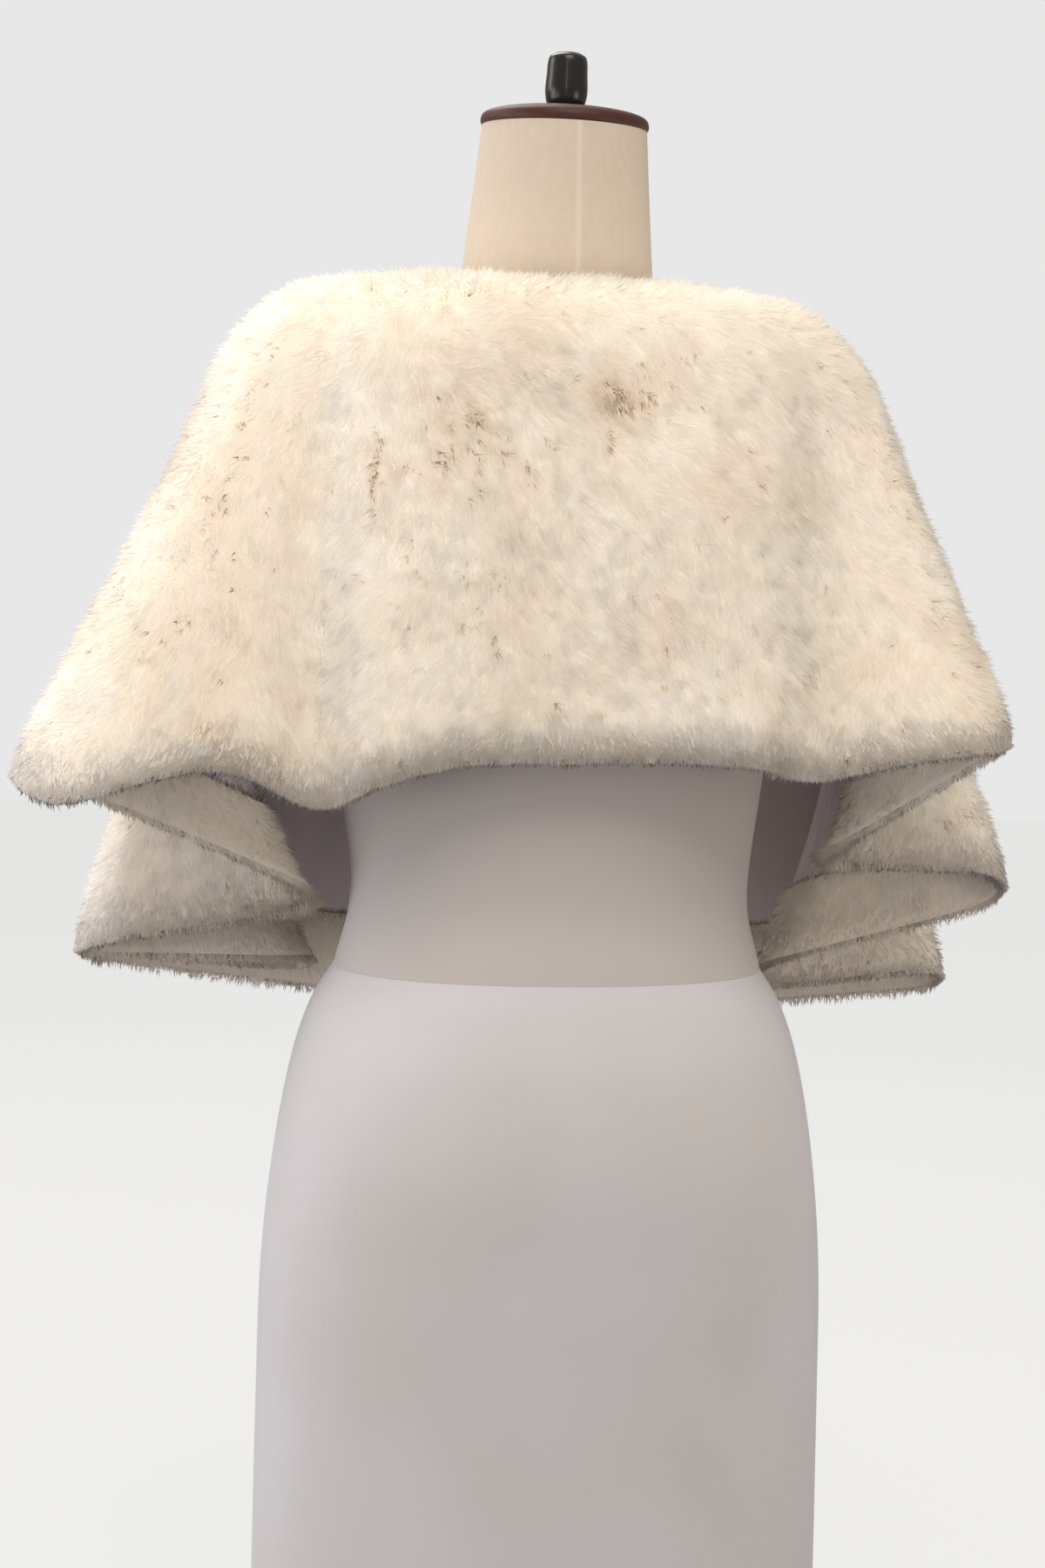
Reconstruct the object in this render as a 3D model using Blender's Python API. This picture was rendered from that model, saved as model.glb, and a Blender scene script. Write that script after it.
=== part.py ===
"""Bridal cape of ivory faux fur on a limbless dress form, modelled in Blender.

Metres, +Z up. The origin is at the middle of the form's foot. The wearer faces -Y, so the
back of the cape faces +Y, and the wearer's left is +X.
"""
import math
from collections import namedtuple

import bmesh
import bpy
import numpy as np

# Gaps, so that no two pieces share a face
SEAM_GAP = 0.0003
SEAM_SHARE = 0.6    # each side of a seam is drawn in by a little over half of the gap

# Neckline of the cape: an oval round the base of the neck, lower in front than at the nape
NECKLINE_HALF_WIDTH = 0.0630
NECKLINE_BACK = 0.0645
NECKLINE_FRONT = 0.0760
NAPE_HEIGHT = 0.8800
NECKLINE_DROP = 0.030

# The form's neck stands a little to the wearer's left of the body's axis and leans back over it
NECK_OFFSET = 0.0045
NECK_LEAN = math.radians(1.6)
NECK_ROOT = 0.8610

# Each rib runs straight out from the neckline, bends over the shoulder and hangs straight
BEND_START = 0.42   # share of the yoke, back from the corner, where the bend starts
BEND_END = 0.20     # share of the drop, down from the corner, where the bend ends
YOKE_SHARE = 0.13   # share of the rib's length before the bend
BEND_SHARE = 0.38   # share of the rib's length at the bend's end

# Cloth thickness on either side of the middle of the wall: pile outside, backing inside
PILE = 0.0075
BACKING = 0.0030

# The fur turned up inside the hem, and the lining above it
FACING_THICKNESS = 0.0050
LINING_THICKNESS = 0.0013

# Ribs on each seam, counted from the centre back
SIDE_SEAM = 3
FRONT_SEAM = 12

# How fast a fold deepens on its way down: 1 is a straight crease from the shoulder
FOLD_POWER = 2.0

# A rib of the cape: where it leaves the neckline, in degrees from the nape, the corner that
# it turns over at the shoulder, and its foot on the hem. Sideways is away from the middle.
# A rib with outline 1 hangs straight; one with outline 0 sinks into a fold between the two.
Rib = namedtuple("Rib", "name neck corner_x corner_y corner_z hem_x hem_y hem_z outline")

LEFT_RIBS = [
    Rib("centre back",      0, 0.000, 0.124, 0.870, 0.000, 0.126, 0.596, 1),
    Rib("back",            16, 0.062, 0.126, 0.872, 0.070, 0.129, 0.594, 1),
    Rib("back edge",       28, 0.112, 0.116, 0.875, 0.122, 0.127, 0.580, 1),
    Rib("crease",          38, 0.142, 0.094, 0.877, 0.153, 0.106, 0.566, 1),
    Rib("arch",            47, 0.163, 0.078, 0.878, 0.212, 0.127, 0.590, 1),
    Rib("lobe 1 near",     57, 0.176, 0.060, 0.879, 0.303, 0.122, 0.570, 1),
    Rib("lobe 1 far",      66, 0.184, 0.040, 0.879, 0.322, 0.074, 0.582, 1),
    Rib("valley 1 near",   76, 0.184, 0.022, 0.876, 0.161, 0.018, 0.510, 0),
    Rib("valley 1 far",    84, 0.183, 0.005, 0.874, 0.159, -0.018, 0.484, 0),
    Rib("lobe 2 near",     93, 0.180, -0.013, 0.870, 0.277, -0.037, 0.464, 1),
    Rib("lobe 2 far",     102, 0.175, -0.031, 0.865, 0.279, -0.087, 0.452, 1),
    Rib("valley 2 near",  110, 0.169, -0.048, 0.860, 0.150, -0.100, 0.446, 0),
    Rib("valley 2 far",   118, 0.159, -0.064, 0.854, 0.150, -0.132, 0.434, 0),
    Rib("lobe 3 near",    126, 0.147, -0.079, 0.848, 0.272, -0.148, 0.442, 1),
    Rib("lobe 3 far",     136, 0.128, -0.095, 0.841, 0.270, -0.196, 0.434, 1),
    Rib("front",          148, 0.094, -0.112, 0.830, 0.140, -0.210, 0.414, 1),
    Rib("front edge",     162, 0.046, -0.122, 0.818, 0.064, -0.202, 0.408, 1),
]

RIGHT_RIBS = [
    Rib("centre back",      0, 0.000, 0.124, 0.870, 0.000, 0.126, 0.596, 1),
    Rib("back",            16, 0.062, 0.126, 0.871, 0.066, 0.129, 0.597, 1),
    Rib("back edge",       28, 0.106, 0.118, 0.869, 0.108, 0.128, 0.594, 1),
    Rib("crease",          38, 0.133, 0.099, 0.868, 0.140, 0.110, 0.586, 1),
    Rib("lobe 1 start",    47, 0.148, 0.082, 0.867, 0.192, 0.127, 0.599, 1),
    Rib("lobe 1 near",     57, 0.156, 0.064, 0.866, 0.248, 0.118, 0.606, 1),
    Rib("lobe 1 far",      66, 0.163, 0.044, 0.865, 0.265, 0.075, 0.602, 1),
    Rib("valley 1 near",   76, 0.165, 0.026, 0.864, 0.184, 0.030, 0.540, 0),
    Rib("valley 1 far",    84, 0.164, 0.008, 0.862, 0.182, 0.000, 0.521, 0),
    Rib("lobe 2 near",     93, 0.162, -0.010, 0.860, 0.290, -0.018, 0.515, 1),
    Rib("lobe 2 far",     102, 0.158, -0.029, 0.857, 0.296, -0.064, 0.489, 1),
    Rib("valley 2 near",  110, 0.152, -0.047, 0.853, 0.166, -0.084, 0.448, 0),
    Rib("valley 2 far",   118, 0.148, -0.063, 0.849, 0.164, -0.116, 0.424, 0),
    Rib("lobe 3 near",    126, 0.138, -0.079, 0.844, 0.285, -0.130, 0.434, 1),
    Rib("lobe 3 far",     136, 0.121, -0.095, 0.838, 0.282, -0.178, 0.418, 1),
    Rib("front",          148, 0.090, -0.112, 0.828, 0.140, -0.198, 0.402, 1),
    Rib("front edge",     162, 0.046, -0.122, 0.816, 0.064, -0.196, 0.400, 1),
]

# Heights at which the rings of a wall lie, as shares of a rib's length, and how thick the
# wall is there: it thins at the neckline and at the hem, where its edge is round
Ring = namedtuple("Ring", "share thickness")
PANEL_RINGS = [
    Ring(0.000, 0.45), Ring(0.025, 1.0), Ring(0.130, 1.0), Ring(0.190, 1.0), Ring(0.245, 1.0),
    Ring(0.300, 1.0), Ring(0.380, 1.0), Ring(0.480, 1.0), Ring(0.580, 1.0), Ring(0.680, 1.0),
    Ring(0.780, 1.0), Ring(0.880, 1.0), Ring(0.960, 1.0), Ring(0.985, 0.8), Ring(1.000, 0.4),
]
FACING_RINGS = [Ring(0.882, 1.0), Ring(0.960, 0.9), Ring(0.978, 0.4)]
LINING_RINGS = [Ring(0.385, 1.0), Ring(0.48, 1.0), Ring(0.58, 1.0), Ring(0.68, 1.0),
                Ring(0.78, 1.0), Ring(0.88, 1.0)]

# Ribs drawn between each two of the table
BACK_STEPS = 2
SIDE_STEPS = 3

# A level of the dress form: half width, depth behind and before the axis, and the height of
# its side, back and front points. Levels run from the top of the neck down to the foot.
Level = namedtuple("Level", "name half_width back front side_z back_z front_z")

SEAM_HEIGHT = 0.4670
TORSO_LEVELS = [
    Level("neck top",      0.0498, 0.0520, 0.0520, 0.9745, 0.9745, 0.9745),
    Level("neck",          0.0535, 0.0550, 0.0560, 0.9320, 0.9320, 0.9320),
    Level("neck base",     0.0580, 0.0590, 0.0640, 0.8840, 0.8930, 0.8660),
    Level("neck root",     0.0600, 0.0610, 0.0690, 0.8610, 0.8760, 0.8360),
    Level("shoulder 1",    0.0800, 0.0710, 0.0760, 0.8585, 0.8670, 0.8240),
    Level("shoulder 2",    0.1050, 0.0830, 0.0840, 0.8558, 0.8495, 0.8060),
    Level("shoulder 3",    0.1270, 0.0930, 0.0920, 0.8480, 0.8230, 0.7870),
    Level("shoulder tip",  0.1400, 0.1000, 0.1000, 0.8330, 0.7980, 0.7660),
    Level("armhole",       0.1440, 0.1030, 0.1060, 0.8000, 0.7730, 0.7450),
    Level("underarm",      0.1440, 0.1030, 0.1130, 0.7600, 0.7400, 0.7150),
    Level("bust",          0.1420, 0.1000, 0.1170, 0.7050, 0.6950, 0.6800),
    Level("under bust",    0.1360, 0.0940, 0.1060, 0.6350, 0.6350, 0.6300),
    Level("ribs",          0.1290, 0.0900, 0.0970, 0.5800, 0.5800, 0.5780),
    Level("waist",         0.1220, 0.0870, 0.0920, 0.5120, 0.5120, 0.5120),
    Level("seam",          0.1310, 0.0950, 0.0980, SEAM_HEIGHT, SEAM_HEIGHT, SEAM_HEIGHT),
]
HIP_LEVELS = [
    Level("seam",          0.1310, 0.0950, 0.0980, SEAM_HEIGHT, SEAM_HEIGHT, SEAM_HEIGHT),
    Level("high hip",      0.1445, 0.1060, 0.1050, 0.4450, 0.4450, 0.4450),
    Level("stomach",       0.1560, 0.1180, 0.1130, 0.4100, 0.4100, 0.4100),
    Level("seat",          0.1660, 0.1250, 0.1150, 0.3550, 0.3550, 0.3550),
    Level("hip",           0.1730, 0.1210, 0.1140, 0.2850, 0.2850, 0.2850),
    Level("thigh",         0.1750, 0.1160, 0.1120, 0.1900, 0.1900, 0.1900),
    Level("foot",          0.1765, 0.1150, 0.1120, 0.0000, 0.0000, 0.0000),
]
FORM_STEPS = 2          # rings drawn between each two levels
FORM_SIDES = 40
NECK_LEVELS = 4         # the torso's levels from the neck's top to its root
NECK_SQUARENESS = 2.0   # power of the section's outline: 2 is an ellipse
BODY_SQUARENESS = 2.25

# Turned top of the form: a wooden cap on the neck, and a knob on the cap
CAP_DEPTH_RATIO = 1.04
CAP_BOTTOM = 0.9745 + SEAM_GAP
CAP_HEIGHT = 0.0130
KNOB_HEIGHT = 0.0316
# Radius and height of each point of a turned profile, the height as a share of the whole
Turn = namedtuple("Turn", "radius height")
CAP_PROFILE = [Turn(0.0500, 0.00), Turn(0.0507, 0.10), Turn(0.0507, 0.28), Turn(0.0496, 0.48),
               Turn(0.0466, 0.62), Turn(0.0400, 0.75), Turn(0.0280, 0.88), Turn(0.0145, 1.00)]
KNOB_PROFILE = [Turn(0.0107, 0.00), Turn(0.0119, 0.08), Turn(0.0127, 0.22), Turn(0.0128, 0.36),
                Turn(0.0123, 0.60), Turn(0.0120, 0.80), Turn(0.0108, 0.93), Turn(0.0070, 1.00)]
TURNED_SIDES = 32

IVORY_FUR = (0.86, 0.79, 0.68)
IVORY_SATIN = (0.62, 0.57, 0.56)
CALICO = (0.74, 0.67, 0.57)
JERSEY = (0.68, 0.66, 0.68)
WOOD = (0.075, 0.025, 0.014)
BLACK_PLASTIC = (0.012, 0.011, 0.011)


def clear_scene():
    for thing in list(bpy.data.objects):
        bpy.data.objects.remove(thing, do_unlink=True)


def make_material(name, colour, roughness):
    material = bpy.data.materials.new(name)
    material.use_nodes = True
    shader = material.node_tree.nodes["Principled BSDF"]
    shader.inputs["Base Color"].default_value = (*colour, 1.0)
    shader.inputs["Roughness"].default_value = roughness
    shader.inputs["Metallic"].default_value = 0.0
    return material


def smooth_through(rows, place):
    """Points on the smooth curve through the rows, where row k is met at place k."""
    first = np.clip(np.floor(place).astype(int), 0, len(rows) - 2)
    s = (place - first)[..., None]
    ends = [2 * rows[:1] - rows[1:2], rows, 2 * rows[-1:] - rows[-2:-1]]
    padded = np.vstack(ends)
    a, b, c, d = (padded[first + k] for k in range(4))
    return 0.5 * (2 * b + (c - a) * s + (2 * a - 5 * b + 4 * c - d) * s ** 2
                  + (3 * b - a - 3 * c + d) * s ** 3)


def all_ribs():
    """Both sides' ribs in one row, from the right front edge over the back to the left."""
    left = np.array([rib[1:] for rib in LEFT_RIBS], float)
    right = np.array([rib[1:] for rib in RIGHT_RIBS], float)
    right[:, [0, 1, 4]] *= -1
    return np.vstack([right[:0:-1], left])


def outline_feet(ribs):
    """The hem's points with every fold pulled straight, between the ribs on the outline."""
    count = np.arange(len(ribs))
    kept = ribs[:, 7] > 0.5
    return np.stack([np.interp(count, count[kept], ribs[kept, axis]) for axis in (4, 5, 6)], 1)


RIBS = all_ribs()
OUTLINE = outline_feet(RIBS)
EDGE = len(LEFT_RIBS) - 1   # the left front edge's place; the right one's is -EDGE


def middle(place, share):
    """The middle of the cape's wall, at a rib's place and a share of the rib's length."""
    place, share = np.broadcast_arrays(place, share)
    rib = smooth_through(RIBS, place + EDGE)
    angle = np.radians(rib[..., 0])
    reach = np.where(np.cos(angle) > 0, NECKLINE_BACK, NECKLINE_FRONT)
    height = NAPE_HEIGHT - NECKLINE_DROP * 0.5 * (1 - np.cos(angle))
    sideways = NECKLINE_HALF_WIDTH * np.sin(angle) + NECK_OFFSET
    neck = np.stack([sideways, reach * np.cos(angle), height], -1)
    corner = rib[..., 1:4]
    hem = smooth_through(OUTLINE, place + EDGE)
    fold = rib[..., 4:7] - hem
    bend_from = neck + (corner - neck) * (1 - BEND_START)
    bend_to = corner + (hem - corner) * BEND_END
    share = share[..., None]
    on_yoke = np.clip(share / YOKE_SHARE, 0, 1)
    on_bend = np.clip((share - YOKE_SHARE) / (BEND_SHARE - YOKE_SHARE), 0, 1)
    on_drop = np.clip((share - BEND_SHARE) / (1 - BEND_SHARE), 0, 1)
    yoke = neck + (bend_from - neck) * on_yoke
    bend = (bend_from * (1 - on_bend) ** 2 + corner * 2 * on_bend * (1 - on_bend)
            + bend_to * on_bend ** 2)
    drop = bend_to + (hem - bend_to) * on_drop + fold * on_drop ** FOLD_POWER
    return np.where(share < YOKE_SHARE, yoke, np.where(share < BEND_SHARE, bend, drop))


def outward(place, share):
    """Unit vectors at a point of the wall: along the hem, and out of the cloth."""
    step = 0.03
    along = (middle(np.minimum(place + step, EDGE), share)
             - middle(np.maximum(place - step, -EDGE), share))
    down = middle(place, np.minimum(share + step, 1)) - middle(place, np.maximum(share - step, 0))
    out = np.cross(along, down)
    along /= np.linalg.norm(along, axis=-1, keepdims=True)
    return along, out / np.linalg.norm(out, axis=-1, keepdims=True)


def on_panel(places, rings):
    """Points and outward vectors on the flat facets between a panel's own rings."""
    place = np.array(places, float)[:, None]
    shares = np.array([ring.share for ring in PANEL_RINGS])
    point = middle(place, shares[None, :])
    along, out = outward(place, shares[None, :])
    asked = np.array([ring.share for ring in rings])
    first = np.clip(np.searchsorted(shares, asked, "right") - 1, 0, len(shares) - 2)
    s = ((asked - shares[first]) / (shares[first + 1] - shares[first]))[None, :, None]
    return [grid[:, first] * (1 - s) + grid[:, first + 1] * s for grid in (point, along, out)]


def cape_wall(places, rings, outer, inner):
    """Points of a wall of the cape: its outer and its inner face, each a grid.

    outer and inner are how far the two faces lie out from the middle of the cloth. The wall
    thins toward its outer face, and its first and last columns are drawn in for the seam.
    """
    thickness = np.array([ring.thickness for ring in rings])[None, :, None]
    point, along, out = on_panel(places, rings)
    point[0] += along[0] * SEAM_GAP * SEAM_SHARE
    point[-1] -= along[-1] * SEAM_GAP * SEAM_SHARE
    if outer > 0:
        half = (outer - inner) / 2
        centre = point + out * (outer + inner) / 2
        return centre + out * half * thickness, centre - out * half * thickness
    return point + out * outer, point + out * (outer - (outer - inner) * thickness)


def closed_sheet(name, outer, inner, material):
    """One closed body from two grids of points, joined along their outlines.

    Every square is cut along the same diagonal, so sheets made on one grid stay parallel.
    """
    columns, rows = outer.shape[:2]
    mesh = bpy.data.meshes.new(name)
    work = bmesh.new()
    front = [[work.verts.new(outer[i, j]) for j in range(rows)] for i in range(columns)]
    back = [[work.verts.new(inner[i, j]) for j in range(rows)] for i in range(columns)]

    def add_square(a, b, c, d):
        work.faces.new((a, b, c))
        work.faces.new((a, c, d))

    for i in range(columns - 1):
        for j in range(rows - 1):
            for side in (front, back):
                add_square(side[i][j], side[i][j + 1], side[i + 1][j + 1], side[i + 1][j])
    for i in range(columns - 1):
        for j in (0, rows - 1):
            add_square(front[i][j], front[i + 1][j], back[i + 1][j], back[i][j])
    for j in range(rows - 1):
        for i in (0, columns - 1):
            add_square(front[i][j], front[i][j + 1], back[i][j + 1], back[i][j])
    bmesh.ops.recalc_face_normals(work, faces=work.faces)
    work.to_mesh(mesh)
    work.free()
    return finish(name, mesh, material)


def finish(name, mesh, material):
    mesh.materials.append(material)
    mesh.shade_smooth()
    mesh.set_sharp_from_angle(angle=math.radians(50))
    thing = bpy.data.objects.new(name, mesh)
    bpy.context.scene.collection.objects.link(thing)
    return thing


def places_between(first, last, steps):
    return np.linspace(first, last, (last - first) * steps + 1)


def cape_piece(name, first, last, steps, rings, outer, inner, material):
    outer_face, inner_face = cape_wall(places_between(first, last, steps), rings, outer, inner)
    return closed_sheet(name, outer_face, inner_face, material)


def make_panels(fur):
    """The fur panels: one back, a full side on each shoulder, and two fronts."""
    panels = [
        ("back_panel", -SIDE_SEAM, SIDE_SEAM, BACK_STEPS),
        ("side_panel_left", SIDE_SEAM, FRONT_SEAM, SIDE_STEPS),
        ("side_panel_right", -FRONT_SEAM, -SIDE_SEAM, SIDE_STEPS),
        ("front_panel_left", FRONT_SEAM, EDGE, SIDE_STEPS),
        ("front_panel_right", -EDGE, -FRONT_SEAM, SIDE_STEPS),
    ]
    for name, first, last, steps in panels:
        cape_piece(name, first, last, steps, PANEL_RINGS, PILE, -BACKING, fur)


def make_hem_facings(fur):
    """The fur turned up inside the hem, moved in from the panels' own points."""
    outer = -BACKING - SEAM_GAP
    inner = outer - FACING_THICKNESS
    facings = [
        ("hem_facing_back", -SIDE_SEAM, SIDE_SEAM, BACK_STEPS),
        ("hem_facing_left", SIDE_SEAM, EDGE, SIDE_STEPS),
        ("hem_facing_right", -EDGE, -SIDE_SEAM, SIDE_STEPS),
    ]
    for name, first, last, steps in facings:
        cape_piece(name, first, last, steps, FACING_RINGS, outer, inner, fur)


def make_linings(satin):
    """The lining inside the sides and the fronts, above the hem's facing."""
    outer = -BACKING - SEAM_GAP
    inner = outer - LINING_THICKNESS
    cape_piece("lining_left", SIDE_SEAM, EDGE, SIDE_STEPS, LINING_RINGS, outer, inner, satin)
    cape_piece("lining_right", -EDGE, -SIDE_SEAM, SIDE_STEPS, LINING_RINGS, outer, inner, satin)


def leaned(point, share):
    """A point of the form's upper end, moved by the given share of the neck's lean."""
    x, y, z = point
    turn = NECK_LEAN * share
    rise = z - NECK_ROOT
    return (x * math.cos(turn) - rise * math.sin(turn) + NECK_OFFSET * share, y,
            NECK_ROOT + rise * math.cos(turn) + x * math.sin(turn))


def level_ring(level, squareness):
    """One closed ring of points round the form at a level."""
    half_width, back, front, side_z, back_z, front_z = level
    ring = []
    for k in range(FORM_SIDES):
        angle = 2 * math.pi * k / FORM_SIDES
        c, s = math.cos(angle), math.sin(angle)
        depth, end_z = (back, back_z) if s >= 0 else (front, front_z)
        across = math.copysign(abs(c) ** (2 / squareness), c)
        deep = math.copysign(abs(s) ** (2 / squareness), s)
        z = side_z * across ** 2 + end_z * (1 - across ** 2)
        ring.append((half_width * across, depth * deep, z))
    return ring


def make_form_piece(name, levels, oval_levels, bottom_lift, material):
    """A solid stretch of the form through its levels, closed flat at both ends.

    The first oval_levels levels are plain ovals, as a neck is, and the others are squarer.
    """
    table = np.array([level[1:] for level in levels], float)
    places = places_between(0, len(levels) - 1, FORM_STEPS)
    mesh = bpy.data.meshes.new(name)
    work = bmesh.new()
    rings = []
    for place in places:
        blend = min(max(place + 1 - oval_levels, 0), 1)
        squareness = NECK_SQUARENESS + (BODY_SQUARENESS - NECK_SQUARENESS) * blend
        level = smooth_through(table, np.array(place))
        ring = level_ring(level, squareness)
        rings.append([work.verts.new(leaned(point, 1 - blend)) for point in ring])
    for vertex in rings[-1]:
        vertex.co.z += bottom_lift
    for upper, lower in zip(rings, rings[1:]):
        for k in range(FORM_SIDES):
            after = (k + 1) % FORM_SIDES
            work.faces.new((upper[k], lower[k], lower[after], upper[after]))
    work.faces.new(rings[0])
    work.faces.new(rings[-1][::-1])
    bmesh.ops.recalc_face_normals(work, faces=work.faces)
    work.to_mesh(mesh)
    work.free()
    return finish(name, mesh, material)


def make_turned_piece(name, profile, bottom, height, depth_ratio, material):
    """A turned solid on the neck's leaning axis, a little deeper than it is wide."""
    mesh = bpy.data.meshes.new(name)
    work = bmesh.new()
    rings = []
    for turn in profile:
        ring = []
        for k in range(TURNED_SIDES):
            angle = 2 * math.pi * k / TURNED_SIDES
            x = turn.radius * math.cos(angle)
            y = turn.radius * math.sin(angle) * depth_ratio
            point = (x, y, bottom + height * turn.height)
            ring.append(work.verts.new(leaned(point, 1)))
        rings.append(ring)
    for lower, upper in zip(rings, rings[1:]):
        for k in range(TURNED_SIDES):
            after = (k + 1) % TURNED_SIDES
            work.faces.new((lower[k], lower[after], upper[after], upper[k]))
    work.faces.new(rings[0][::-1])
    work.faces.new(rings[-1])
    bmesh.ops.recalc_face_normals(work, faces=work.faces)
    work.to_mesh(mesh)
    work.free()
    return finish(name, mesh, material)


def build():
    clear_scene()
    fur = make_material("ivory_fur", IVORY_FUR, 0.95)
    satin = make_material("ivory_satin", IVORY_SATIN, 0.45)
    calico = make_material("calico", CALICO, 0.9)
    jersey = make_material("white_jersey", JERSEY, 0.85)
    wood = make_material("dark_wood", WOOD, 0.4)
    plastic = make_material("black_plastic", BLACK_PLASTIC, 0.25)
    make_panels(fur)
    make_hem_facings(fur)
    make_linings(satin)
    make_form_piece("form_torso", TORSO_LEVELS, NECK_LEVELS, SEAM_GAP, calico)
    make_form_piece("form_hips", HIP_LEVELS, 0, 0.0, jersey)
    make_turned_piece("neck_cap", CAP_PROFILE, CAP_BOTTOM, CAP_HEIGHT, CAP_DEPTH_RATIO, wood)
    knob_bottom = CAP_BOTTOM + CAP_HEIGHT + SEAM_GAP
    make_turned_piece("cap_knob", KNOB_PROFILE, knob_bottom, KNOB_HEIGHT, 1.0, plastic)


build()
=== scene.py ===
import math
from collections import namedtuple

import bpy
import numpy as np
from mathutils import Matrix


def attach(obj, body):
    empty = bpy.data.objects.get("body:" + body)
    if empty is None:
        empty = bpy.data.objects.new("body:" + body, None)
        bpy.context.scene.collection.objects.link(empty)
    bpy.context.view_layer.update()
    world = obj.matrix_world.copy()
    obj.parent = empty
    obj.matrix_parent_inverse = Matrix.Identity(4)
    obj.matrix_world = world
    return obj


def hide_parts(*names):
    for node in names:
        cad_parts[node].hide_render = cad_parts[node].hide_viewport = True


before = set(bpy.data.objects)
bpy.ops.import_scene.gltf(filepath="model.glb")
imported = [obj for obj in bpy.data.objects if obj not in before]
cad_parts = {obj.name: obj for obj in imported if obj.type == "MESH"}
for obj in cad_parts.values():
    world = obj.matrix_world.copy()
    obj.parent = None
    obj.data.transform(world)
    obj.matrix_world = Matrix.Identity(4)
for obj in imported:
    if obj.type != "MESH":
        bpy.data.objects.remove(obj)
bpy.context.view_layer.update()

# The dress form's hips: a firm moulded shell under a smooth, stretched white jersey cover that
# is sewn to the cover of the torso at the waist. The part stands on its flat foot.
Level = namedtuple("Level", "name half_width back front side_z back_z front_z")
HIP_LEVELS = [
    Level("seam",          0.1310, 0.0950, 0.0980, 0.4672, 0.4672, 0.4672),
    Level("high hip",      0.1445, 0.1060, 0.1050, 0.4450, 0.4450, 0.4450),
    Level("stomach",       0.1560, 0.1180, 0.1130, 0.4100, 0.4100, 0.4100),
    Level("seat",          0.1660, 0.1250, 0.1150, 0.3550, 0.3550, 0.3550),
    Level("hip",           0.1730, 0.1210, 0.1140, 0.2850, 0.2850, 0.2850),
    Level("thigh",         0.1750, 0.1160, 0.1120, 0.1900, 0.1900, 0.1900),
    Level("foot",          0.1765, 0.1150, 0.1120, 0.0000, 0.0000, 0.0000),
]
JERSEY_WHITE = (0.56, 0.52, 0.50)
JERSEY_WARM = (0.575, 0.545, 0.52)
JERSEY_COOL = (0.605, 0.58, 0.59)
NECK_ROOT = 0.8610
NECK_LEAN = 1.6  # degrees
NECK_OFFSET = 0.0045
RADIANS_AT_SCALE_ONE = 20  # how fast a wave texture of scale 1 runs, to the metre


def smooth_through(rows, place):
    """Points on the smooth curve through the rows, where row k is met at place k."""
    first = np.clip(np.floor(place).astype(int), 0, len(rows) - 2)
    s = (place - first)[..., None]
    padded = np.vstack([2 * rows[:1] - rows[1:2], rows, 2 * rows[-1:] - rows[-2:-1]])
    a, b, c, d = (padded[first + k] for k in range(4))
    return 0.5 * (2 * b + (c - a) * s + (2 * a - 5 * b + 4 * c - d) * s ** 2
                  + (3 * b - a - 3 * c + d) * s ** 3)


def mesh_piece(name, points, faces, finish):
    """A smooth-shaded piece from arrays of points and of faces."""
    mesh = bpy.data.meshes.new(name)
    mesh.from_pydata(np.asarray(points, float).reshape(-1, 3).tolist(), [], faces)
    mesh.materials.append(finish)
    mesh.shade_smooth()
    piece = bpy.data.objects.new(name, mesh)
    bpy.context.scene.collection.objects.link(piece)
    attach(piece, "root")
    return piece


def leaned(points, share):
    """Points of the form's upper end, moved by the given share of its neck's slight lean."""
    turn = math.radians(NECK_LEAN) * share
    x, y, rise = points[:, 0], points[:, 1], points[:, 2] - NECK_ROOT
    return np.stack([x * math.cos(turn) - rise * math.sin(turn) + NECK_OFFSET * share, y,
                     NECK_ROOT + rise * math.cos(turn) + x * math.sin(turn)], 1)


def form_cover(name, levels, oval_levels, rings, sides, finish):
    """The form from its first to its last level, mapped in metres round it and up it. The
    rings of the first oval_levels are plain ovals, and the ones below are a little squarer."""
    table = np.array([level[1:] for level in levels], float)
    points = []
    around = []
    for place in np.linspace(0, len(levels) - 1, rings):
        past_oval = min(max(place + 1 - oval_levels, 0), 1)
        squareness = 2.0 + 0.25 * past_oval
        half_width, back, front, side_z, back_z, front_z = smooth_through(table, np.array(place))
        angle = np.linspace(0, 2 * math.pi, sides, endpoint=False)
        across = np.sign(np.cos(angle)) * np.abs(np.cos(angle)) ** (2 / squareness)
        deep = np.sign(np.sin(angle)) * np.abs(np.sin(angle)) ** (2 / squareness)
        behind = np.sin(angle) >= 0
        z = side_z * across ** 2 + np.where(behind, back_z, front_z) * (1 - across ** 2)
        ring = np.stack([half_width * across, np.where(behind, back, front) * deep, z], 1)
        points.append(leaned(ring, 1 - past_oval))
        around.append(angle * half_width)
    faces = []
    for j in range(rings - 1):
        for k in range(sides):
            after = (k + 1) % sides
            faces.append((j * sides + k, (j + 1) * sides + k, (j + 1) * sides + after,
                          j * sides + after))
    faces.append(tuple(range(sides)))
    faces.append(tuple((rings - 1) * sides + k for k in reversed(range(sides))))
    points = np.concatenate(points)
    points[:, 2] = np.maximum(points[:, 2], 0)
    piece = mesh_piece(name, points, faces, finish)
    piece.data.set_sharp_from_angle(angle=math.radians(50))
    woven_map = piece.data.uv_layers.new(name="cover")
    around = np.concatenate(around)
    for loop in piece.data.loops:
        woven_map.data[loop.index].uv = (around[loop.vertex_index], points[loop.vertex_index][2])
    return piece


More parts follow.
